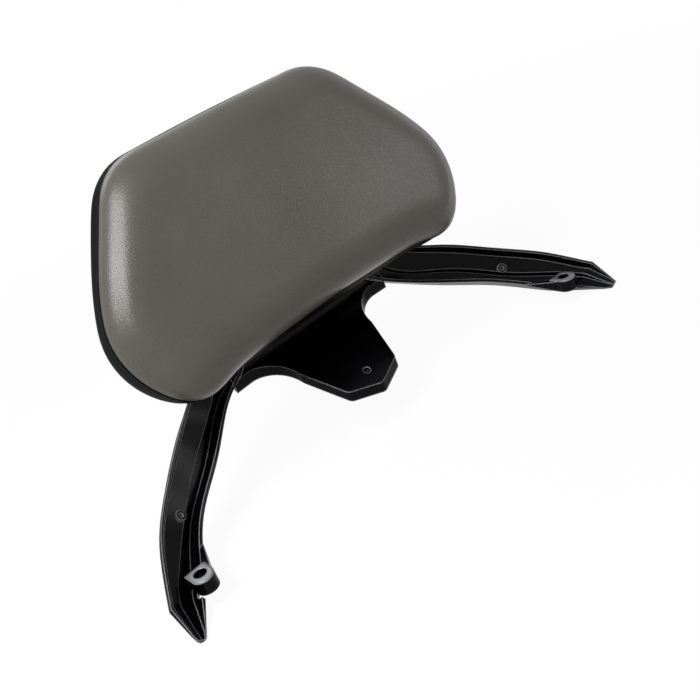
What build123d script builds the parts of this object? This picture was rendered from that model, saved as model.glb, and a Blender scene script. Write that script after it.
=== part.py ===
from build123d import *
import os
from math import atan2, cos, degrees, radians, sin, tan

# Passenger backrest for a motorcycle. Millimetres and degrees.
# X runs across, -Y is towards the passenger, +Z is up.
# The origin is midway between the two bolt seats at the ends of the arms, at the height of the seats.

# Bolt seats at the ends of the arms
bolt_spacing = 356.0
bolt_hole = 8.5
seat_half = 6.6
seat_reach = 9.0
seat_back = 7.0
seat_edge = 0.5
boss_wall = 0.7
boss_height = 9.8
underside_radius = 7.5

# Where the pad stands: the seam between the face panel and the side band lies in a leaning plane
pad_lean = 22.0
seam_forward = 48.0
seam_height = 110.0

# Pad outline on the seam plane, measured from the point above
pad_top = 112.0
pad_bottom = -35.0
pad_top_width = 172.0
pad_side_slope = 25.7
pad_top_bow = 2.5
pad_side_bow = 9.4
pad_top_radius = 44.0
pad_lower_radius = 45.0

# Pad layers
face_rise = 15.0
face_crown_radius = 1300.0
face_edge_radius = 10.0
skin = 1.4
band_low = 42.0
band_high = 22.0
base_thickness = 4.0
hem_width = 17.0
boss_outer = 9.0
boss_depth = 9.0

# Fasteners between the casting and the pad, measured on the back of the base
lower_bolt_half = 46.0
lower_bolt_rise = -8.0
upper_bolt_half = 33.0
upper_bolt_rise = 44.0
thread_radius = 3.0
bolt_clearance = 0.3
bolt_grip = 9.0
bolt_head_radius = 5.5
bolt_head_height = 3.4
hex_socket = 4.0
washer_radius = 8.0
washer_thickness = 1.6
insert_radius = 5.5
insert_length = 11.0
insert_flange_radius = 8.0
insert_flange = 1.2

# Staples that hold the hem
staple_crown = 10.0
staple_wire = 0.9
staple_leg = 3.2
staple_pitch = 26.0

# Casting: the plate behind the pad
stand_off = 10.6
plate_wall = 5.0
plate_top = 62.0
plate_low = -24.0
plate_low_half = 90.0
plate_top_half = 56.0
plate_corner_radius = 18.0
flange_wall = 4.0
flange_inset = 1.5
flange_height = 8.0
flange_foot = 8.0
flange_run = 22.0
rib_height = 6.0

# Casting: the tongue below the pad
tongue_slope = 28.0
tongue_wall = 7.7
tongue_front = 17.5
tongue_height = 14.4
tongue_half = 23.5
tongue_point = 8.8
tongue_corner_radius = 5.0
bend_radius = 14.0
arch_side_half = 35.5
arch_side_back = 24.0
arch_half = 62.0
arch_ahead = 1.5
arch_bulge_half = 44.0
arch_bulge_back = 7.5
dimple_radius = 2.6
dimple_back = 13.5

# Casting: stations along one arm, each a section across it: outer rim, inner rim,
# depth of the lip, the back and the inner wall, then depth of the floor, depth of the groove beside
# the inner wall, and the share of the width the floor takes.
# The roots are measured on the plate's front: across, up and out of it. The rest from the bolt seat.
root_stations = [
    ((81, -6, 2), (57, -37, -2), (2.5, 12, 6), (5, 7, 0.6)),
    ((96, -28, 3.5), (74, -50.2, 0.9), (2.5, 16, 11), (6, 10, 0.6)),
]
arm_stations = [
    ((-50, 66, 49), (-69, 60.5, 26), (2.5, 18, 12), (6.5, 12, 0.6)),
    ((-22.5, 49, 33.5), (-39, 42, 12), (2.5, 18.5, 12), (6.5, 12.5, 0.6)),
    ((0.5, 30, 20), (-17, 24, -1), (2.5, 18.5, 12), (6.5, 12.5, 0.58)),
    ((12, 14.5, 12), (-6.5, 10, -7.5), (3, 18, 12), (6.5, 13, 0.42)),
    ((20.5, 1.5, 4.4), (-0.5, 2.5, -10.5), (3, 17, 10), (6, 12.5, 0.3)),
    ((26.5, -8.7, -0.9), (5.4, -4.6, -13.1), (3, 13, 7), (4, 8.5, 0.3)),
]
finger_stations = [
    ((26.6, -23.5, -13.4), (17.6, -20.8, -18.2), (1.6, 4.6, 3), (1, 2, 0.4)),
    ((26.4, -26.8, -16), (21, -26, -18.6), (1.2, 3.4, 2), (0.5, 1, 0.4)),
]
arm_lip = 1.8
arm_wall = 2.6
lip_run = 3.2
back_share = 0.22
back_drop = 0.6
back_middle = 0.6
tip_scale = 0.25
groove_draft = 1.5
post_place = (-17.5, 44.3, 11.6)
post_radius = 3.6
post_bore = 1.5
post_height = 3.0
flank_end = (-17, 24)
flank_wall = 3.0
flank_slope = 0.35

# Longer than anything it cuts or is cut from
far = 600.0

half_spacing = bolt_spacing / 2
seat = Vector(half_spacing, 0, 0)
wedge = degrees(atan2(band_low - band_high, pad_top - pad_bottom))
back_lean = pad_lean - wedge
band_middle = band_low + pad_bottom * tan(radians(wedge))
side_view = Plane(origin=(0, 0, 0), x_dir=(0, 1, 0), z_dir=(1, 0, 0))
fixings = [
    (-lower_bolt_half, lower_bolt_rise),
    (lower_bolt_half, lower_bolt_rise),
    (upper_bolt_half, upper_bolt_rise),
    (-upper_bolt_half, upper_bolt_rise),
]


def leaning(origin, lean):
    """A plane that leans back from upright, looking out towards the passenger."""
    out = Vector(0, -cos(radians(lean)), sin(radians(lean)))
    return Plane(origin=origin, x_dir=(1, 0, 0), z_dir=out)


def behind(plane, depth):
    return plane.offset(-depth)


seam_plane = leaning((0, seam_forward, seam_height), pad_lean)
base_plane = leaning(behind(seam_plane, band_middle).origin, back_lean)
plate_plane = behind(base_plane, stand_off)
head_plane = behind(plate_plane, plate_wall + washer_thickness)


def pad_outline(inset=0.0):
    """The pad's outline: a trapezoid with bowed sides and rounded corners."""
    slope = radians(pad_side_slope)
    top = pad_top - inset
    low = pad_bottom + inset
    top_half = pad_top_width / 2 + inset * tan(slope) - inset / cos(slope)
    low_half = top_half + (top - low) * tan(slope)
    side = Vector((top_half + low_half) / 2, (top + low) / 2)
    side += Vector(cos(slope), sin(slope)) * pad_side_bow
    edges = [
        ThreePointArc((-top_half, top), (0, top + pad_top_bow), (top_half, top)),
        ThreePointArc((top_half, top), (side.X, side.Y), (low_half, low)),
        Line((low_half, low), (-low_half, low)),
        ThreePointArc((-low_half, low), (-side.X, side.Y), (-top_half, top)),
    ]
    face = make_face(edges)
    face = fillet([v for v in face.vertices() if v.Y > 0], pad_top_radius - inset)
    return fillet([v for v in face.vertices() if v.Y < 0], pad_lower_radius - inset)


def stand(sketch, plane, length):
    """Stand a sketch on a plane and extrude it out of the plane."""
    return extrude(plane * sketch, length)


def pad_slice(inset, front, back):
    """A slice of the pad behind the seam plane, between two depths ahead of the base's back."""
    column = stand(pad_outline(inset), behind(seam_plane, far), far)
    slab = stand(Rectangle(far, far), base_plane.offset(back), front - back)
    return column & slab


def face_body(inset):
    """The crowned front of the pad, inset from its outside."""
    rise = face_rise - inset
    block = stand(pad_outline(inset), seam_plane, rise + 2)
    centre = seam_plane.origin + seam_plane.z_dir * (rise - face_crown_radius)
    block = block & Pos(*centre) * Sphere(face_crown_radius)
    front = block.faces().sort_by(Axis(seam_plane.origin, seam_plane.z_dir))[-1]
    return fillet(front.edges(), face_edge_radius - inset)


def face_panel():
    return face_body(0) - face_body(skin)


def side_band():
    """The black band round the pad, with its hem turned in over the base."""
    wall = pad_slice(0, far, 0) - pad_slice(skin, far, 0)
    hem = pad_slice(0, 0, -skin) - pad_slice(hem_width, 0, -skin)
    return wall + hem - staples()


def round_bars(radius, plane, length):
    bars = Sketch() + [Pos(x, y) * Circle(radius) for x, y in fixings]
    return stand(bars, plane, length)


def pad_base():
    board = pad_slice(skin, base_thickness, 0)
    board += round_bars(boss_outer, base_plane, base_thickness + boss_depth)
    board -= round_bars(insert_radius, base_plane, insert_length)
    board -= round_bars(insert_flange_radius, base_plane, insert_flange)
    return board - staples()


def foam_core():
    block = pad_slice(skin, far, base_thickness) + face_body(skin)
    return block - round_bars(boss_outer, base_plane, base_thickness + boss_depth)


def threaded_inserts():
    bodies = round_bars(insert_radius, base_plane, insert_length)
    bodies += round_bars(insert_flange_radius, base_plane, insert_flange)
    return bodies - round_bars(thread_radius, base_plane, insert_length)


def pad_bolt(x, y):
    """A button head screw, its head behind the plate and its end in the pad's insert."""
    length = washer_thickness + plate_wall + stand_off + bolt_grip
    shank = stand(Pos(x, y) * Circle(thread_radius), head_plane, length)
    rear = behind(head_plane, bolt_head_height)
    head = stand(Pos(x, y) * Circle(bolt_head_radius), rear, bolt_head_height)
    rim = head.edges().sort_by(Axis(rear.origin, rear.z_dir))[0]
    head = fillet(rim, bolt_head_height * 0.55)
    socket = Pos(x, y) * RegularPolygon(hex_socket / 2, 6, major_radius=False)
    return shank + head - stand(socket, rear, bolt_head_height * 0.6)


def pad_washer(x, y):
    ring = Circle(washer_radius) - Circle(thread_radius + bolt_clearance)
    return stand(Pos(x, y) * ring, head_plane, washer_thickness)


def staples():
    """One wire staple every pitch along the middle of the hem, its legs in the base."""
    path = pad_outline(hem_width / 2).face().outer_wire()
    count = int(path.length / staple_pitch)
    reach = (staple_crown - staple_wire) / 2
    crown = Box(staple_crown, staple_wire, staple_wire, align=(Align.CENTER, Align.CENTER, Align.MAX))
    leg = Box(staple_wire, staple_wire, staple_leg, align=(Align.CENTER, Align.CENTER, Align.MIN))
    wire = crown + Pos(reach, 0, -staple_wire) * leg + Pos(-reach, 0, -staple_wire) * leg
    made = []
    for i in range(count):
        here = path.position_at(i / count)
        along = path.tangent_at(i / count)
        spot = Plane(origin=(here.X, here.Y, 0), x_dir=(along.X, along.Y, 0), z_dir=(0, 0, 1))
        made.append(behind(base_plane, skin) * spot * wire)
    return made


def meet(a, b, toward_a, toward_b):
    """Where two lines of the side view cross."""
    ax, ay = toward_a
    bx, by = toward_b
    t = ((b[0] - a[0]) * by - (b[1] - a[1]) * bx) / (ax * by - ay * bx)
    return (a[0] + ax * t, a[1] + ay * t)


def side_profile():
    """Side view of the bent sheet: the four corners ahead of the bends, front then back."""
    slope = (cos(radians(tongue_slope)), sin(radians(tongue_slope)))
    lean = (sin(radians(back_lean)), cos(radians(back_lean)))
    nose = (tongue_front, tongue_height)
    nose_low = (tongue_front, tongue_height - tongue_wall)
    front = plate_plane.origin
    back = behind(plate_plane, plate_wall).origin
    fold = meet(nose, (front.Y, front.Z), slope, lean)
    fold_back = meet(nose_low, (back.Y, back.Z), slope, lean)
    top = (front.Y + lean[0] * plate_top, front.Z + lean[1] * plate_top)
    top_back = (back.Y + lean[0] * plate_top, back.Z + lean[1] * plate_top)
    return nose, fold, top, top_back, fold_back, nose_low


def centre_sheet():
    """Tongue and plate in one bent sheet, cut to its plan and to the plate's outline."""
    corners = side_profile()
    face = make_face(Polyline(*corners, close=True))
    inner = face.vertices().sort_by_distance(corners[1])[0]
    face = fillet(inner, bend_radius)
    outer = face.vertices().sort_by_distance(corners[4])[0]
    face = fillet(outer, bend_radius + plate_wall)
    sheet = extrude(side_view * face, far, both=True)
    plan = extrude(tongue_plan(), far, both=True)
    return sheet & plan & extrude(plate_plane * plate_outline(), far, both=True)


def tongue_plan():
    """Seen from above: the blunt point, the sides and the arches beside it."""
    fold = side_profile()[1][0]
    root = arm_rows()[1][1]
    corner = (tongue_half, tongue_front + tongue_point)
    low = (arch_side_half, fold - arch_side_back)
    bulge = (arch_bulge_half, fold - arch_bulge_back)
    crown = (arch_half, fold - arch_ahead)
    edges = [
        Line((0, tongue_front), corner),
        Line(corner, low),
        ThreePointArc(low, bulge, crown),
        Line(crown, (root.X, root.Y)),
        Line((root.X, root.Y), (root.X, far)),
        Line((root.X, far), (0, far)),
        Line((0, far), (0, tongue_front)),
    ]
    half = make_face(edges)
    plan = half + mirror(half, Plane.YZ)
    tip = [v for v in plan.vertices() if v.Y < corner[1] + 1]
    return fillet(tip, tongue_corner_radius)


def plate_outline(inset=0.0):
    """The plate behind the pad, narrower towards the top, on the plate's front."""
    foot = plate_low - far
    points = [
        (plate_low_half, foot),
        (plate_low_half, plate_low),
        (plate_top_half, plate_top),
        (-plate_top_half, plate_top),
        (-plate_low_half, plate_low),
        (-plate_low_half, foot),
    ]
    face = make_face(Polyline(*points, close=True))
    face = fillet([v for v in face.vertices() if v.Y > plate_top - 1], plate_corner_radius)
    return offset(face, -inset) if inset else face


def plate_flange():
    """The low wall near the plate's edge. It sinks into the plate at its lower ends."""
    ring = plate_outline(flange_inset) - plate_outline(flange_inset + flange_wall)
    wall = stand(ring, behind(plate_plane, 1), flange_height + 1)
    ramp = Polyline(
        (-2 * far, -2),
        (-2 * far, flange_height + 1),
        (flange_foot + flange_run, flange_height + 1),
        (flange_foot, -2),
        close=True,
    )
    view = Plane(origin=plate_plane.origin, x_dir=plate_plane.y_dir, z_dir=(1, 0, 0))
    return wall - extrude(view * make_face(ramp), far, both=True)


def plate_ribs():
    """A frame and a cross of thin ribs between the four bosses."""
    ribs = Sketch()
    for a, b in ((0, 1), (1, 2), (2, 3), (3, 0), (0, 2), (1, 3)):
        start, end = Vector(*fixings[a]), Vector(*fixings[b])
        span = end - start
        middle = (start + end) / 2
        turn = degrees(atan2(span.Y, span.X))
        ribs += Pos(middle.X, middle.Y) * Rot(0, 0, turn) * Rectangle(span.length, flange_wall - 1)
    return stand(ribs, behind(plate_plane, 1), rib_height + 1)


def arm_rows():
    """Every station of the right arm, in place, from behind the pad to the knuckle."""
    rows = []
    for outer, inner, walls, hollow in root_stations:
        outer = plate_plane.from_local_coords(Vector(*outer))
        inner = plate_plane.from_local_coords(Vector(*inner))
        rows.append((outer, inner, walls, hollow))
    for outer, inner, walls, hollow in arm_stations + finger_stations:
        rows.append((seat + Vector(*outer), seat + Vector(*inner), walls, hollow))
    return rows


def station_plane(rows, i):
    """Plane across the arm: X from the outer rim to the inner, Y down into the casting."""
    mids = [(row[0] + row[1]) / 2 for row in rows]
    along = mids[min(i + 1, len(mids) - 1)] - mids[max(i - 1, 0)]
    outer, inner = rows[i][:2]
    across = (inner - outer).normalized()
    along = (along - across * along.dot(across)).normalized()
    return Plane(origin=outer, x_dir=across, z_dir=along)


def station_section(rows, i, scale):
    """The open section of the arm at one station. Its thin walls shrink with the scale."""
    outer, inner, walls, hollow = rows[i]
    lip_drop, back, inner_wall = walls
    floor, groove, share = hollow
    width = (inner - outer).length
    lip = arm_lip * scale
    wall = arm_wall * scale
    run = lip_run * scale
    step = lip + run + (width - lip - run - wall) * share
    path = Polyline(
        (0, lip_drop),
        (0, 0),
        (lip, 0),
        (lip + run, floor),
        (step, floor),
        (step + groove_draft * scale, groove),
        (width - wall, groove),
        (width - wall, 0),
        (width, 0),
        (width, inner_wall),
    )
    heel = (width * back_share, back * back_drop)
    under = ThreePointArc((width, inner_wall), (width * back_middle, back), heel)
    return station_plane(rows, i) * make_face(path.edges() + [under, Line(heel, (0, lip_drop))])


def arm():
    """One arm: an open section carried from behind the pad to the knuckle, then to a fingertip."""
    rows = arm_rows()
    last = len(rows) - len(finger_stations)
    sections = [station_section(rows, i, 1) for i in range(last)]
    body = loft(sections)
    before = sections[-1]
    for i in range(last, len(rows)):
        section = station_section(rows, i, tip_scale)
        body += loft([before, section], ruled=True)
        before = section
    return body


def seat_outline(grow=0.0):
    """The machined seat: round in front, straight at the sides and the back."""
    half = seat_half + grow
    centre = seat_half - seat_reach
    back = seat_back + grow
    block = Pos(0, (back + centre) / 2) * Rectangle(2 * half, back - centre)
    return block + Pos(0, centre) * Circle(half)


def boss():
    """The bolt boss, with its machined seat standing proud of a small shoulder."""
    foot = Plane.XY.offset(-boss_height)
    body = stand(seat_outline(boss_wall), foot, boss_height - seat_edge)
    return Pos(*seat) * (body + stand(seat_outline(), foot, boss_height))


def boss_flank():
    """The inner wall where it swings out to join the boss. Its foot rises away from the boss."""
    edge = -seat_half - boss_wall
    outline = Polyline(
        flank_end,
        (edge, 0),
        (edge + flank_wall, 0),
        (edge + flank_wall, seat_back),
        (flank_end[0] + flank_wall, flank_end[1]),
        close=True,
    )
    wall = stand(make_face(outline), Plane.XY.offset(-boss_height), boss_height - 1)
    slope = Polyline(
        (0, -boss_height - 1),
        (flank_end[1] + 1, -boss_height - 1),
        (flank_end[1] + 1, -boss_height + flank_end[1] * flank_slope),
        (0, -boss_height),
        close=True,
    )
    foot = extrude(side_view * make_face(slope), far, both=True)
    return Pos(*seat) * (wall - foot)


def post():
    """The small screw post on the floor of the channel."""
    rows = arm_rows()
    place = station_plane(rows, len(root_stations) + 2)
    foot = behind(Plane(origin=seat + Vector(*post_place), z_dir=place.y_dir * -1), 1)
    stem = Circle(post_radius) - Circle(post_bore)
    return stand(stem, foot, post_height + 1)


def bolt_bore():
    """The bolt's hole and the round spot face under the boss."""
    spot = Plane.XY.offset(-boss_height - 20)
    return Pos(*seat) * (stand(Circle(underside_radius), spot, 20) + stand(Circle(bolt_hole / 2), spot, 60))


def side():
    """Everything on the right of the casting beyond the plate."""
    bore = bolt_bore()
    return arm() + boss_flank() - bore + (boss() - bore) + post()


def casting():
    """The one-piece bracket."""
    body = centre_sheet() + plate_flange() + plate_ribs()
    body = body + round_bars(boss_outer, behind(plate_plane, 1), stand_off + 1)
    body = body - round_bars(thread_radius + bolt_clearance, behind(plate_plane, 40), 80)
    dimple_rise = dimple_back * tan(radians(tongue_slope))
    dimple = Pos(0, tongue_front + dimple_back, tongue_height + dimple_rise)
    body = body - dimple * Sphere(dimple_radius)
    right = side()
    return body + right + mirror(right, Plane.YZ)


def save(name, shapes):
    """Writes one node, every solid of it, in place."""
    if not isinstance(shapes, list):
        shapes = [shapes]
    solids = [solid for shape in shapes for solid in shape.solids()]
    node = solids[0] if len(solids) == 1 else Compound(children=solids)
    export_step(node, os.path.join("parts", name + ".step"))
    print(name, len(solids), "solids", round(node.volume / 1000, 1), "cm3")


os.makedirs("parts", exist_ok=True)
save("bracket_casting", casting())
save("pad_base", pad_base())
save("foam_core", foam_core())
save("face_panel", face_panel())
save("side_band", side_band())
save("threaded_inserts", threaded_inserts())
save("pad_bolts", [pad_bolt(x, y) for x, y in fixings])
save("pad_washers", [pad_washer(x, y) for x, y in fixings])
save("cover_staples", staples())
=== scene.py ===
import math

import bmesh
import bpy
from mathutils import Matrix, Vector


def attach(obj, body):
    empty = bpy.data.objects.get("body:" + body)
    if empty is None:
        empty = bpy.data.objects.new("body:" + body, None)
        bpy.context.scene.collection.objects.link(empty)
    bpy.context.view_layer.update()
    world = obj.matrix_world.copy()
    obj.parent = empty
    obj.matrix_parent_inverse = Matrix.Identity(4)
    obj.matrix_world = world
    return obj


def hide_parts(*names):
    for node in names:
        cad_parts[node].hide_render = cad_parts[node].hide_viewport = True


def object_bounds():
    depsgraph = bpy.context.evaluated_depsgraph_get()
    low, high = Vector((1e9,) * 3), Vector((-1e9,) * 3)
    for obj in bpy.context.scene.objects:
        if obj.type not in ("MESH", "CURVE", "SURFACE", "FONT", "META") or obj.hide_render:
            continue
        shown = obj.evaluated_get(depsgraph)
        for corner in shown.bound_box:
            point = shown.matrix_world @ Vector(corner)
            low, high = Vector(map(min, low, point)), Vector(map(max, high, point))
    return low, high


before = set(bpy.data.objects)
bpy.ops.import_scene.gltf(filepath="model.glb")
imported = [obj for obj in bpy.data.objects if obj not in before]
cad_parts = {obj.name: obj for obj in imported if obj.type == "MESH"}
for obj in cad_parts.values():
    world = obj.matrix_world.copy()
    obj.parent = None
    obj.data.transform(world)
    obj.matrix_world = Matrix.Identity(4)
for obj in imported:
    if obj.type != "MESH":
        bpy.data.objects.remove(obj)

# Passenger backrest for a motorcycle: a padded trapezoid on a cast bracket.
# Metres, X across, -Y towards the passenger, +Z up, origin between the two bolt seats.

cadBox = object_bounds()
scene = bpy.context.scene
scene.view_settings.view_transform = "Standard"


def addObject(name, data):
    made = bpy.data.objects.new(name, data)
    scene.collection.objects.link(made)
    return made


def meshFrom(bm, name, *mats):
    mesh = bpy.data.meshes.new(name)
    bm.to_mesh(mesh)
    bm.free()
    for mat in mats:
        mesh.materials.append(mat)
    return mesh


# small helpers for node materials
def newMaterial(name):
    mat = bpy.data.materials.new(name)
    mat.use_nodes = True
    tree = mat.node_tree
    shader = next(n for n in tree.nodes if n.type == "BSDF_PRINCIPLED")
    return mat, tree, shader


def addNode(tree, kind, **values):
    node = tree.nodes.new(kind)
    for key, value in values.items():
        if hasattr(node, key):
            setattr(node, key, value)
        else:
            node.inputs[key.replace("_", " ")].default_value = value
    return node


def link(tree, a, b):
    tree.links.new(a, b)


def objectPlace(tree):
    return addNode(tree, "ShaderNodeTexCoord").outputs["Object"]


def noise(tree, where, scale, detail):
    node = addNode(tree, "ShaderNodeTexNoise", Scale=scale, Detail=detail)
    link(tree, where, node.inputs["Vector"])
    return node


def ramp(tree, source, stops):
    node = addNode(tree, "ShaderNodeValToRGB")
    link(tree, source, node.inputs["Fac"])
    band = node.color_ramp
    while len(band.elements) < len(stops):
        band.elements.new(0.5)
    for element, (at, color) in zip(band.elements, stops):
        element.position = at
        element.color = (*color, 1)
    return node.outputs["Color"]


def mapRange(tree, source, low, high, toLow, toHigh):
    span = {"From_Min": low, "From_Max": high, "To_Min": toLow, "To_Max": toHigh}
    node = addNode(tree, "ShaderNodeMapRange", **span)
    link(tree, source, node.inputs["Value"])
    return node.outputs["Result"]


def bump(tree, height, strength, depth, normal=None):
    node = addNode(tree, "ShaderNodeBump", Strength=strength, Distance=depth)
    link(tree, height, node.inputs["Height"])
    if normal is not None:
        link(tree, normal, node.inputs["Normal"])
    return node.outputs["Normal"]


def calc(tree, operation, *sources):
    node = addNode(tree, "ShaderNodeMath", operation=operation)
    for socket, value in zip(node.inputs, sources):
        if isinstance(value, (int, float)):
            socket.default_value = value
        else:
            link(tree, value, socket)
    return node.outputs[0]


# covers: the grey grained face and the black band
leather = {
    "face": {
        "low": (0.064, 0.058, 0.048), "high": (0.086, 0.079, 0.066), "rough": (0.34, 0.27),
        "cells": 640, "depth": 0.00005, "specular": 0.3, "wrinkle": 0.6,
    },
    "band": {
        "low": (0.0012, 0.0012, 0.0014), "high": (0.0030, 0.0030, 0.0033), "rough": (0.66, 0.56),
        "cells": 820, "depth": 0.00006, "specular": 0.05, "wrinkle": 0.3,
    },
}
grainShape = {
    "warpScale": 240, "warp": 0.0024, "cellEdge": 0.32, "poreScale": 1900, "pore": 0.25,
    "wrinkleScale": 95, "tone": 0.35, "bump": 0.75,
    "cloudScale": 14, "cloudFrom": (0.35, 0.65), "cloudTo": (0.1, 0.65),
}


def leatherMaterial(name, kind):
    s = leather[kind]
    g = grainShape
    mat, tree, shader = newMaterial(name)
    where = objectPlace(tree)
    warp = noise(tree, where, g["warpScale"], 2)
    mixed = addNode(tree, "ShaderNodeVectorMath", operation="MULTIPLY_ADD")
    link(tree, warp.outputs["Color"], mixed.inputs[0])
    mixed.inputs[1].default_value = [g["warp"]] * 3
    link(tree, where, mixed.inputs[2])
    cells = addNode(tree, "ShaderNodeTexVoronoi", feature="DISTANCE_TO_EDGE", Scale=s["cells"])
    link(tree, mixed.outputs[0], cells.inputs["Vector"])
    grain = mapRange(tree, cells.outputs["Distance"], 0.0, g["cellEdge"], 0.0, 1.0)
    pores = noise(tree, where, g["poreScale"], 3)
    wrinkles = noise(tree, mixed.outputs[0], g["wrinkleScale"], 5)
    height = calc(tree, "MULTIPLY_ADD", pores.outputs["Fac"], g["pore"], grain)
    height = calc(tree, "MULTIPLY_ADD", wrinkles.outputs["Fac"], s["wrinkle"], height)
    cloud = noise(tree, where, g["cloudScale"], 3)
    cloudy = mapRange(tree, cloud.outputs["Fac"], *g["cloudFrom"], *g["cloudTo"])
    tone = calc(tree, "MULTIPLY_ADD", grain, g["tone"], cloudy)
    link(tree, ramp(tree, tone, [(0.0, s["low"]), (1.0, s["high"])]), shader.inputs["Base Color"])
    link(tree, mapRange(tree, grain, 0.0, 1.0, *s["rough"]), shader.inputs["Roughness"])
    link(tree, bump(tree, height, g["bump"], s["depth"]), shader.inputs["Normal"])
    shader.inputs["Specular IOR Level"].default_value = s["specular"]
    return mat


# gloss black paint on the casting with a painted highlight along its rims, bare metal on the two
# machined seats
paint = {
    "low": (0.0008, 0.0008, 0.0012), "high": (0.0014, 0.0014, 0.0020), "rough": (0.15, 0.26),
    "specular": 0.08, "cloudScale": 60, "peel": 0.00005, "peelScale": 420,
    # the light grey and the mask span below paint a highlight along the casting's edges
    "edge": 0.0013, "edgeSamples": 6, "rim": (0.30, 0.305, 0.315), "rimFrom": 0.03, "rimTo": 0.15,
}
bareSeat = {
    "across": 0.178, "half": 0.0068, "front": -0.0092, "back": 0.0072, "slack": 0.0003,
    "color": (0.20, 0.20, 0.21), "rougher": 0.2,
}
cloudSpan = (0.3, 0.7)
softBump = 0.5


def seatMask(tree, where):
    # 1 on the D-shaped seats at the ends of the arms, 0 elsewhere
    split = addNode(tree, "ShaderNodeSeparateXYZ")
    link(tree, where, split.inputs[0])
    offCentre = calc(tree, "SUBTRACT", calc(tree, "ABSOLUTE", split.outputs["X"]), bareSeat["across"])
    inX = calc(tree, "LESS_THAN", calc(tree, "ABSOLUTE", offCentre), bareSeat["half"])
    inFront = calc(tree, "GREATER_THAN", split.outputs["Y"], bareSeat["front"])
    inBack = calc(tree, "LESS_THAN", split.outputs["Y"], bareSeat["back"])
    level = calc(tree, "LESS_THAN", calc(tree, "ABSOLUTE", split.outputs["Z"]), bareSeat["slack"])
    inPlan = calc(tree, "MULTIPLY", inX, level)
    return calc(tree, "MULTIPLY", inPlan, calc(tree, "MULTIPLY", inFront, inBack))


def rimMask(tree, rounded):
    # 1 along the sharp rims, where a lighter grey is painted on as a highlight standing in for the rims'
    # reflections
    flat = addNode(tree, "ShaderNodeNewGeometry").outputs["Normal"]
    turn = addNode(tree, "ShaderNodeVectorMath", operation="DOT_PRODUCT")
    link(tree, flat, turn.inputs[0])
    link(tree, rounded.outputs[0], turn.inputs[1])
    away = calc(tree, "SUBTRACT", 1.0, turn.outputs["Value"])
    return mapRange(tree, away, paint["rimFrom"], paint["rimTo"], 0.0, 1.0)


def blendColor(tree, mask, source, color):
    mix = addNode(tree, "ShaderNodeMix", data_type="RGBA")
    link(tree, mask, mix.inputs["Factor"])
    link(tree, source, mix.inputs[6])
    mix.inputs[7].default_value = (*color, 1)
    return mix.outputs[2]


def castingMaterial():
    mat, tree, shader = newMaterial("glossBlackCastPaint")
    where = objectPlace(tree)
    cloud = noise(tree, where, paint["cloudScale"], 4)
    peel = noise(tree, where, paint["peelScale"], 2)
    bare = seatMask(tree, where)
    rounded = addNode(tree, "ShaderNodeBevel", samples=paint["edgeSamples"], Radius=paint["edge"])
    body = ramp(tree, cloud.outputs["Fac"], list(zip(cloudSpan, (paint["low"], paint["high"]))))
    # painted highlight: light grey blended onto the paint along every rim
    body = blendColor(tree, rimMask(tree, rounded), body, paint["rim"])
    link(tree, blendColor(tree, bare, body, bareSeat["color"]), shader.inputs["Base Color"])
    link(tree, bare, shader.inputs["Metallic"])
    glossy = mapRange(tree, cloud.outputs["Fac"], *cloudSpan, *paint["rough"])
    link(tree, calc(tree, "MULTIPLY_ADD", bare, bareSeat["rougher"], glossy), shader.inputs["Roughness"])
    orangePeel = bump(tree, peel.outputs["Fac"], softBump, paint["peel"], rounded.outputs[0])
    link(tree, orangePeel, shader.inputs["Normal"])
    shader.inputs["Specular IOR Level"].default_value = paint["specular"]
    return mat


plainFinishes = {
    "mouldedBlackBoard": {
        "low": (0.016, 0.016, 0.017), "high": (0.024, 0.024, 0.025), "rough": (0.5, 0.65),
        "scale": 900, "depth": 0.0001, "metal": 0.0,
    },
    "blackOxideSteel": {
        "low": (0.03, 0.03, 0.032), "high": (0.05, 0.05, 0.052), "rough": (0.3, 0.42),
        "scale": 700, "depth": 0.00003, "metal": 1.0,
    },
    "turnedBrass": {
        "low": (0.5, 0.33, 0.1), "high": (0.62, 0.43, 0.16), "rough": (0.25, 0.4),
        "scale": 500, "depth": 0.00003, "metal": 1.0,
    },
    "galvanisedWire": {
        "low": (0.4, 0.4, 0.41), "high": (0.6, 0.6, 0.61), "rough": (0.25, 0.4),
        "scale": 800, "depth": 0.00003, "metal": 1.0,
    },
    "blackThread": {
        "low": (0.003, 0.003, 0.003), "high": (0.006, 0.006, 0.006), "rough": (0.6, 0.75),
        "scale": 2500, "depth": 0.0001, "metal": 0.0,
    },
}


def plainMaterial(name):
    s = plainFinishes[name]
    mat, tree, shader = newMaterial(name)
    cloud = noise(tree, objectPlace(tree), s["scale"], 4)
    fac = cloud.outputs["Fac"]
    tones = list(zip(cloudSpan, (s["low"], s["high"])))
    link(tree, ramp(tree, fac, tones), shader.inputs["Base Color"])
    link(tree, mapRange(tree, fac, *cloudSpan, *s["rough"]), shader.inputs["Roughness"])
    link(tree, bump(tree, fac, softBump, s["depth"]), shader.inputs["Normal"])
    shader.inputs["Metallic"].default_value = s["metal"]
    return mat


faceLeather = leatherMaterial("greyGrainedLeatherette", "face")
bandLeather = leatherMaterial("blackBandLeatherette", "band")
finishes = {name: plainMaterial(name) for name in plainFinishes}
thread = finishes["blackThread"]
nodeFinish = {
    "bracket_casting": castingMaterial(),
    "pad_base": finishes["mouldedBlackBoard"],
    "pad_bolts": finishes["blackOxideSteel"],
    "pad_washers": finishes["blackOxideSteel"],
    "threaded_inserts": finishes["turnedBrass"],
    "cover_staples": finishes["galvanisedWire"],
    "face_panel": faceLeather,
    "side_band": bandLeather,
    "foam_core": thread,
}
for node, mat in nodeFinish.items():
    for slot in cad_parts[node].material_slots:
        slot.material = mat
print("materials done")

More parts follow.
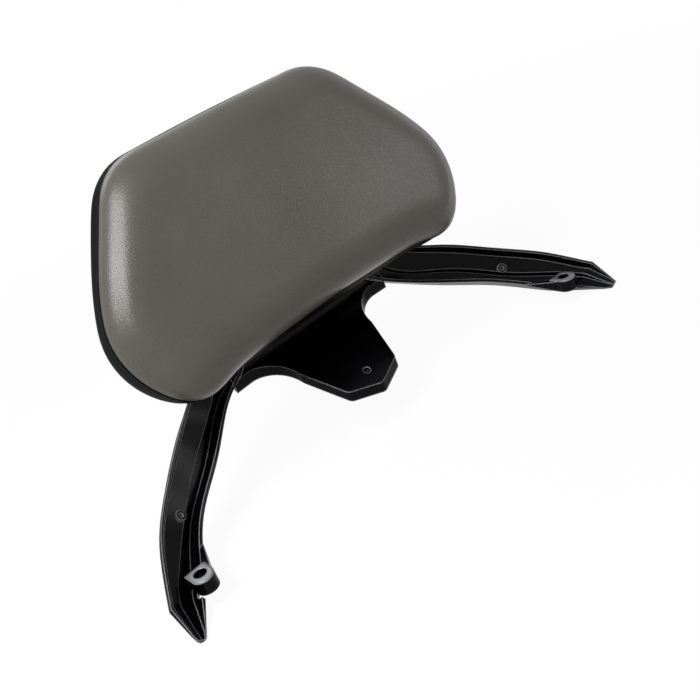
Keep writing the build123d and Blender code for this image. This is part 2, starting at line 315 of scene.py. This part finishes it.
# the pad: a grey face over the foam, sewn to a black band that is turned in behind the base
pad = {
    # planes: the seam's lean from upright, and the lean and depth of the base's back
    "lean": 22.0, "seamPoint": (0, 0.048, 0.110), "backLean": 14.28, "backDepth": 0.03725,
    # points along the lower and upper edge, and up each side
    "acrossSteps": 72, "upSteps": 46, "onSeam": 0.00005, "dense": 900, "topShare": 0.62, "settle": 4,
    # the face: height over the seam plane, crown radius, width of the soft shoulder
    "rise": 0.0165, "crown": 2.3, "shoulder": 0.032, "seamBack": 0.004, "nearInset": 0.01,
    "faceRings": (0.0005, 0.0012, 0.0022, 0.0036, 0.0055, 0.008, 0.011, 0.0145, 0.0185, 0.023, 0.0285),
    # how far the sewn edge is pushed outwards, and how far each push reaches
    "pushes": {
        "lowMiddle": (-0.003, 0.075), "lowTip": (0.0054, 0.020), "lowCorner": (0.003, 0.030),
        "side": (0.0048, 0.045), "topCorner": (0.0012, 0.030),
    },
    "tipAt": 5, "sideAt": 0.4,
    # the band: rings near the seam and further back, its bulge, its turned edge and hem
    "bandNear": (0.0006, 0.0013, 0.0022, 0.0034, 0.0052), "bandSteps": 6, "bulge": 0.0030,
    "backRound": 0.0046, "roundAngles": (0, 30, 60, 90), "skin": 0.0014, "shrink": 0.0003,
    "hem": 0.017, "hemRings": (0.008, 0.012), "hemFold": 0.0004, "hemSink": 0.0002, "heldRows": 10,
}
foamPush = {
    "frames": 20, "cap": 0.0022, "firmness": 60, "middleFrom": 0.008, "middleTo": 0.026,
    "cloth": {
        "use_pressure": True, "uniform_pressure_force": 4.0, "quality": 6, "mass": 0.4,
        "tension_stiffness": 30, "compression_stiffness": 30, "shear_stiffness": 12,
        "bending_stiffness": 3, "vertex_group_mass": "held",
    },
}
seamShape = {
    "groove": 0.0013, "grooveWidth": 0.0009, "fold": 0.0005, "foldAt": 0.0017, "foldWidth": 0.0009,
    "reach": 0.008, "sideways": 0.3,
}


def leanBack(angle):
    a = math.radians(angle)
    return Vector((0, -math.cos(a), math.sin(a)))


padAcross = Vector((1, 0, 0))
padOut = leanBack(pad["lean"])
padUp = Vector((0, padOut.z, -padOut.y))
backOut = leanBack(pad["backLean"])
seamPoint = Vector(pad["seamPoint"])


def toWorld(x, s, d):
    return seamPoint + padAcross * x + padUp * s + padOut * d


def toPad(point):
    r = Vector(point) - seamPoint
    return r.dot(padAcross), r.dot(padUp), r.dot(padOut)


def hull(points):
    # the outline round a flat cloud of points, counterclockwise
    points = sorted(set(points))

    def chain(ordered):
        made = []
        for p in ordered:
            while len(made) > 1:
                a, b = made[-2], made[-1]
                if (b[0] - a[0]) * (p[1] - a[1]) - (b[1] - a[1]) * (p[0] - a[0]) > 0:
                    break
                made.pop()
            made.append(p)
        return made[:-1]

    return chain(points) + chain(points[::-1])


def evenly(path, count):
    # count points at even steps along an open path, its last point left out
    lengths = [0.0]
    for a, b in zip(path, path[1:]):
        lengths.append(lengths[-1] + (b - a).length)
    made = []
    k = 0
    for i in range(count):
        at = lengths[-1] * i / count
        while lengths[k + 1] < at:
            k += 1
        share = (at - lengths[k]) / (lengths[k + 1] - lengths[k])
        made.append(path[k].lerp(path[k + 1], share))
    return made


def seamOutline():
    # the face panel's edge on the seam plane, from the lower left corner round by the right
    flat = []
    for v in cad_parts["face_panel"].data.vertices:
        x, s, d = toPad(v.co)
        if abs(d) < pad["onSeam"]:
            flat.append((round(x, 6), round(s, 6)))
    edge = [Vector(p) for p in hull(flat)]
    dense = evenly(edge + edge[:1], pad["dense"])
    low = min(p.y for p in dense)
    high = max(p.y for p in dense)
    wide = max(p.x for p in dense)
    narrow = wide * pad["topShare"]
    targets = [(-wide, low), (wide, low), (narrow, high), (-narrow, high)]
    starts = []
    for t in targets:
        target = Vector(t)
        starts.append(min(range(len(dense)), key=lambda i: (dense[i] - target).length))
    ring = []
    for k, count in enumerate((pad["acrossSteps"], pad["upSteps"]) * 2):
        a = starts[k]
        b = starts[(k + 1) % 4]
        if b <= a:
            b += len(dense)
        run = [dense[i % len(dense)] for i in range(a, b + 1)]
        ring += evenly(run, count)
    for _ in range(pad["settle"]):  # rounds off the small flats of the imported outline
        following = ring[1:] + ring[:1]
        ring = [(ring[i - 1] + p * 2 + q) / 4 for i, (p, q) in enumerate(zip(ring, following))]
    return ring


def outwards(ring):
    made = []
    for i in range(len(ring)):
        t = (ring[(i + 1) % len(ring)] - ring[i - 1]).normalized()
        made.append(Vector((t.y, -t.x)))
    return made


def bell(value, width):
    return math.exp(-(value / width) ** 2)


def fuller(ring):
    # the sewn edge runs fuller at the corners and sides than the base behind it
    across, up = pad["acrossSteps"], pad["upSteps"]
    tip = pad["tipAt"]
    side = round(up * pad["sideAt"])
    turns = {
        "lowMiddle": [across // 2], "lowTip": [tip, across - tip], "lowCorner": [0, across],
        "side": [across + side, -side], "topCorner": [across + up, 2 * across + up],
    }
    made = []
    for p, n in zip(ring, outwards(ring)):
        push = 0
        for name, places in turns.items():
            size, width = pad["pushes"][name]
            push += sum(size * bell((p - ring[i]).length, width) for i in places)
        made.append(p + n * push)
    return made


baseRing = seamOutline()
baseOut = outwards(baseRing)
seamRing = fuller(baseRing)
seamOut = outwards(seamRing)


def insetAt(x, s):
    # how far a place lies inside the sewn edge
    place = Vector((x, s))
    return min((place - q).length for q in seamRing)


def faceHeight(x, s, inset):
    crown = (x * x + s * s) / (2 * pad["crown"])
    t = min(inset / pad["shoulder"], 1.0)
    lift = math.sqrt(1 - (1 - t) ** 3)
    return (pad["rise"] + pad["seamBack"] - pad["shrink"] - crown) * lift - pad["seamBack"]


def baseDepth(x, s):
    # how far the back of the base lies behind the seam plane, square to the seam plane
    back = toWorld(0, 0, -pad["backDepth"])
    return (toWorld(x, s, 0) - back).dot(backOut) / padOut.dot(backOut)


def faceRows():
    rows = []
    for inset in reversed(pad["faceRings"]):
        t = inset / pad["faceRings"][-1]  # inner rings follow the base, so none crosses itself
        row = []
        for p, n, b, m in zip(seamRing, seamOut, baseRing, baseOut):
            q = p.lerp(b, t) - n.lerp(m, t).normalized() * (inset + pad["shrink"])
            deep = insetAt(q.x, q.y) if inset > pad["nearInset"] else inset
            row.append(toWorld(q.x, q.y, faceHeight(q.x, q.y, deep)))
        rows.append(row)
    return rows


def bandRows():
    near = pad["seamBack"] + pad["bandNear"][-1]
    depths = [(pad["seamBack"] + d, 0.0) for d in (0.0, *pad["bandNear"])]
    depths += [(near, (i + 1) / (pad["bandSteps"] + 1)) for i in range(pad["bandSteps"])]
    rows = []
    for start, share in depths:
        row = []
        for p, n, b, m in zip(seamRing, seamOut, baseRing, baseOut):
            b = b - m * pad["shrink"]
            full = baseDepth(b.x, b.y) + pad["skin"] - pad["backRound"]
            bulge = n * pad["bulge"] * math.sin(math.pi * share)
            q = (p - n * pad["shrink"]).lerp(b, share) + bulge
            row.append(toWorld(q.x, q.y, -(start + (full - start) * share)))
        rows.append(row)
    return rows


def turnedRows():
    # round the back edge, then in over the base to the hem
    radius, skin, hem = pad["backRound"], pad["skin"], pad["hem"]
    places = []
    for angle in pad["roundAngles"]:
        a = math.radians(angle)
        places.append((radius * (1 - math.cos(a)), skin - radius * (1 - math.sin(a))))
    places += [(inset, skin) for inset in (*pad["hemRings"], hem - pad["hemFold"], hem)]
    places += [(hem, skin / 2), (hem, -pad["hemSink"])]
    rows = []
    for inset, stand in places:
        flat = [p - n * (inset + pad["shrink"]) for p, n in zip(baseRing, baseOut)]
        rows.append([toWorld(q.x, q.y, -(baseDepth(q.x, q.y) + stand)) for q in flat])
    return rows


def fillRing(bm, row):
    # a grid between the long lower run and the upper run of a closed row
    across, up = pad["acrossSteps"], pad["upSteps"]
    runs = [(0, across), (across + up, 2 * across + up)]
    edges = []
    for a, b in runs:
        edges += [bm.edges.get((row[i], row[(i + 1) % len(row)])) for i in range(a, b)]
    return bmesh.ops.grid_fill(bm, edges=edges, mat_nr=0, use_smooth=True)["faces"]


def padMesh():
    bm = bmesh.new()
    rows = [[bm.verts.new(p) for p in row] for row in faceRows() + bandRows() + turnedRows()]
    seamRow = len(pad["faceRings"])
    for k, (a, b) in enumerate(zip(rows, rows[1:])):
        for i in range(len(a)):
            j = (i + 1) % len(a)
            f = bm.faces.new((a[i], a[j], b[j], b[i]))
            f.material_index = 0 if k < seamRow else 1
            f.smooth = True
    front = fillRing(bm, rows[0])
    held = {v for row in rows[-pad["heldRows"]:] for v in row} | set(rows[seamRow])
    own = {v for f in front for v in f.verts} - set(rows[0])
    for v in own:
        x, s, d = toPad(v.co)
        v.co = toWorld(x, s, faceHeight(x, s, insetAt(x, s)))
    bmesh.ops.recalc_face_normals(bm, faces=bm.faces)
    if front[0].normal.dot(padOut) < 0:
        bmesh.ops.reverse_faces(bm, faces=bm.faces)
    bm.verts.index_update()
    heldAt = sorted(v.index for v in held)
    return meshFrom(bm, "padForm", faceLeather, bandLeather), heldAt


def neighbours(mesh):
    around = [[] for _ in mesh.vertices]
    for edge in mesh.edges:
        a, b = edge.vertices
        around[a].append(b)
        around[b].append(a)
    return around


def evenSteps(mesh, steps, heldAt):
    # firm foam leaves no creases in the cover, so neighbours move alike
    around = neighbours(mesh)
    for _ in range(foamPush["firmness"]):
        steps = [
            step if i in heldAt else sum((steps[j] for j in around[i]), step) / (len(around[i]) + 1)
            for i, step in enumerate(steps)
        ]
    return steps


def evenMiddle(mesh, steps):
    # the middle of the face rises as one, so no line of the mesh shows in it
    start, end = foamPush["middleFrom"], foamPush["middleTo"]
    shares = []
    for v in mesh.vertices:
        x, s, d = toPad(v.co)
        t = (insetAt(x, s) - start) / (end - start)
        t = min(max(t, 0.0), 1.0) if d > 0 else 0.0
        shares.append(t * t * (3 - 2 * t))
    rise = sum(step.dot(padOut) * t for step, t in zip(steps, shares)) / sum(shares)
    return [step.lerp(padOut * rise, t) for step, t in zip(steps, shares)]


def puff(piece, heldAt):
    # the foam pushes the cover out: a short pressure run, capped, then kept
    start = [v.co.copy() for v in piece.data.vertices]
    group = piece.vertex_groups.new(name="held")
    group.add(heldAt, 1.0, "REPLACE")
    cloth = piece.modifiers.new("foamPush", "CLOTH")
    for key, value in foamPush["cloth"].items():
        setattr(cloth.settings, key, value)
    cloth.settings.effector_weights.gravity = 0
    cloth.collision_settings.use_collision = False
    cloth.point_cache.frame_start = 1
    cloth.point_cache.frame_end = foamPush["frames"]
    for f in range(1, foamPush["frames"] + 1):
        scene.frame_set(f)
    graph = bpy.context.evaluated_depsgraph_get()
    moved = piece.evaluated_get(graph).to_mesh()
    ends = [v.co.copy() for v in moved.vertices]
    piece.evaluated_get(graph).to_mesh_clear()
    piece.modifiers.clear()
    scene.frame_set(1)
    steps = []
    for a, b in zip(start, ends):
        step = b - a
        steps.append(step * min(1.0, foamPush["cap"] / max(step.length, 1e-9)))
    steps = evenMiddle(piece.data, evenSteps(piece.data, steps, set(heldAt)))
    for v, a, step in zip(piece.data.vertices, start, steps):
        v.co = a + step


def subdivide(piece):
    mod = piece.modifiers.new("smooth", "SUBSURF")
    mod.levels = 1
    mod.render_levels = 1
    graph = bpy.context.evaluated_depsgraph_get()
    mesh = bpy.data.meshes.new_from_object(piece.evaluated_get(graph))
    piece.modifiers.clear()
    piece.data = mesh


def pressSeam(mesh):
    # the seam pulls in, and both covers fold up a little beside it
    s = seamShape
    normals = [v.normal.copy() for v in mesh.vertices]
    for v, normal in zip(mesh.vertices, normals):
        d = toPad(v.co)[2] + pad["seamBack"]
        flat = normal - padOut * normal.dot(padOut)
        if abs(d) > s["reach"] or flat.length < s["sideways"]:
            continue
        push = -s["groove"] * bell(d, s["grooveWidth"])
        push += s["fold"] * bell(d + s["foldAt"], s["foldWidth"])
        push += s["fold"] * bell(d - s["foldAt"], s["foldWidth"])
        v.co += flat.normalized() * push


def splitPart(piece, name, keep, mat):
    bm = bmesh.new()
    bm.from_mesh(piece.data)
    bmesh.ops.delete(bm, geom=[f for f in bm.faces if f.material_index != keep], context="FACES")
    for f in bm.faces:
        f.material_index = 0
        f.smooth = True
    return addObject(name, meshFrom(bm, name, mat))


def buildPad():
    mesh, heldAt = padMesh()
    form = addObject("padForm", mesh)
    puff(form, heldAt)
    subdivide(form)
    pressSeam(form.data)
    face = splitPart(form, "coverFace", 0, faceLeather)
    band = splitPart(form, "coverBand", 1, bandLeather)
    bpy.data.objects.remove(form)
    return face, band


coverFace, coverBand = buildPad()
for piece in (coverFace, coverBand):
    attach(piece, "root")
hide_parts("face_panel", "foam_core")
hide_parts("side_band")
print("pad done")

# the seam: a dark cord laid in the groove as painted shade along the seam line, and a thread stitch
# across it every pitch
seam = {
    "shadeCord": 0.0006, "shadeCordIn": 0.0015,
    "pitch": 0.0042, "length": 0.0020, "radius": 0.00030, "stitchIn": 0.0014, "lift": 0.35, "tilt": 0.45,
}


def seamPath(inset):
    flat = [p - n * inset for p, n in zip(seamRing, seamOut)]
    return [toWorld(q.x, q.y, -pad["seamBack"]) for q in flat]


def tube(name, points, radius, mat):
    curve = bpy.data.curves.new(name, "CURVE")
    curve.dimensions = "3D"
    curve.bevel_depth = radius
    curve.bevel_resolution = 2
    spline = curve.splines.new("POLY")
    spline.points.add(len(points) - 1)
    for q, p in zip(spline.points, points):
        q.co = (*p, 1)
    spline.use_cyclic_u = True
    bare = addObject(name, curve)
    graph = bpy.context.evaluated_depsgraph_get()
    mesh = bpy.data.meshes.new_from_object(bare.evaluated_get(graph))
    bpy.data.objects.remove(bare)
    mesh.materials.clear()
    mesh.materials.append(mat)
    for f in mesh.polygons:
        f.use_smooth = True
    return addObject(name, mesh)


def buildStitches():
    path = seamPath(seam["stitchIn"])
    closed = path + path[:1]
    total = sum((b - a).length for a, b in zip(closed, closed[1:]))
    spots = evenly(closed, int(total / seam["pitch"]))
    bm = bmesh.new()
    size = Matrix.Diagonal((seam["length"] / 2, seam["radius"], seam["radius"], 1))
    for i, spot in enumerate(spots):
        along = (spots[(i + 1) % len(spots)] - spots[i - 1]).normalized()
        tilt = (padOut + along * seam["tilt"]).normalized()
        side = along.cross(padOut).normalized()
        turn = Matrix((tilt, side, tilt.cross(side))).transposed().to_4x4()
        place = Matrix.Translation(spot + padOut * (seam["length"] * seam["lift"]))
        bmesh.ops.create_icosphere(bm, subdivisions=2, radius=1, matrix=place @ turn @ size)
    for f in bm.faces:
        f.smooth = True
    return addObject("seamStitches", meshFrom(bm, "seamStitches", thread))


# painted shade: the dark cord darkens the seam line where the groove's shade falls
seamShadeCord = tube("seamShadeCord", seamPath(seam["shadeCordIn"]), seam["shadeCord"], thread)
seamStitches = buildStitches()
for piece in (seamShadeCord, seamStitches):
    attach(piece, "root")
print("seam done")

# floor, lamps and camera
studio = {
    "floorZ": cadBox[0][2] - 0.0005, "floorHalf": 60, "white": 0.86, "rough": 0.9,
    "nearGlow": 0.93, "nearAt": 0.4, "farAt": 1.1, "air": 0.29, "target": (0, 0.04, 0.08),
}
lamps = {
    "keyLamp": {"at": (-0.50, -0.12, 0.76), "size": (0.36, 0.36), "power": 8.0},
    "sideLamp": {"at": (1.05, -0.95, 0.52), "size": (0.4, 0.4), "power": 2.2},
    "backLamp": {"at": (-0.1, 1.3, 1.1), "size": (1.2, 0.5), "power": 6},
}


def seenRays(tree):
    rays = addNode(tree, "ShaderNodeLightPath")
    seen = calc(tree, "MAXIMUM", rays.outputs["Is Camera Ray"], rays.outputs["Is Glossy Ray"])
    return calc(tree, "MAXIMUM", seen, rays.outputs["Is Transmission Ray"])


def floorMaterial():
    # pale floor that keeps a faint shadow near the object and fades to white further out
    mat, tree, shader = newMaterial("paleFloor")
    out = next(n for n in tree.nodes if n.type == "OUTPUT_MATERIAL")
    shader.inputs["Base Color"].default_value = (*[studio["white"]] * 3, 1)
    shader.inputs["Roughness"].default_value = studio["rough"]
    away = addNode(tree, "ShaderNodeVectorMath", operation="LENGTH")
    link(tree, objectPlace(tree), away.inputs[0])
    reach = (studio["nearAt"], studio["farAt"])
    glow = mapRange(tree, away.outputs["Value"], *reach, studio["nearGlow"], 1.0)
    mix = addNode(tree, "ShaderNodeMixShader")
    link(tree, calc(tree, "MULTIPLY", seenRays(tree), glow), mix.inputs["Fac"])
    link(tree, shader.outputs[0], mix.inputs[1])
    link(tree, addNode(tree, "ShaderNodeEmission").outputs[0], mix.inputs[2])
    link(tree, mix.outputs[0], out.inputs["Surface"])
    return mat


def buildFloor():
    bm = bmesh.new()
    bmesh.ops.create_grid(bm, x_segments=2, y_segments=2, size=studio["floorHalf"])
    floor = addObject("floor", meshFrom(bm, "floor", floorMaterial()))
    floor.location = (0, 0, studio["floorZ"])


def addLamp(name):
    s = lamps[name]
    lamp = bpy.data.lights.new(name, "AREA")
    lamp.shape = "RECTANGLE"
    lamp.size, lamp.size_y = s["size"]
    lamp.energy = s["power"]
    made = addObject(name, lamp)
    made.location = s["at"]
    aim = Vector(studio["target"]) - Vector(s["at"])
    made.rotation_euler = aim.to_track_quat("-Z", "Y").to_euler()


def buildWorld():
    world = bpy.data.worlds.new("studioAir")
    world.use_nodes = True
    tree = world.node_tree
    back = next(n for n in tree.nodes if n.type == "BACKGROUND")
    back.inputs["Color"].default_value = (1, 1, 1, 1)
    link(tree, mapRange(tree, seenRays(tree), 0, 1, studio["air"], 1.0), back.inputs["Strength"])
    scene.world = world


# where the photograph was taken from, found from the bolt seats and the pad's outline
camera = {
    "at": (-0.2954, -0.4363, 0.3121), "lens": 46.286, "sensor": 36, "near": 0.01,
    "right": (0.7073, -0.6261, -0.3282),
    "down": (-0.5266, -0.1570, -0.8355),
    "ahead": (0.4716, 0.7638, -0.4407),
}


def buildCamera():
    lens = bpy.data.cameras.new("photoCamera")
    lens.lens = camera["lens"]
    lens.sensor_width = camera["sensor"]
    lens.sensor_fit = "HORIZONTAL"
    lens.clip_start = camera["near"]
    made = addObject("photoCamera", lens)
    right, down, ahead = (Vector(camera[k]) for k in ("right", "down", "ahead"))
    turn = Matrix((right, -down, -ahead)).transposed().to_4x4()
    made.matrix_world = Matrix.Translation(camera["at"]) @ turn
    scene.camera = made


buildFloor()
for name in lamps:
    addLamp(name)
buildWorld()
buildCamera()
print("studio done")
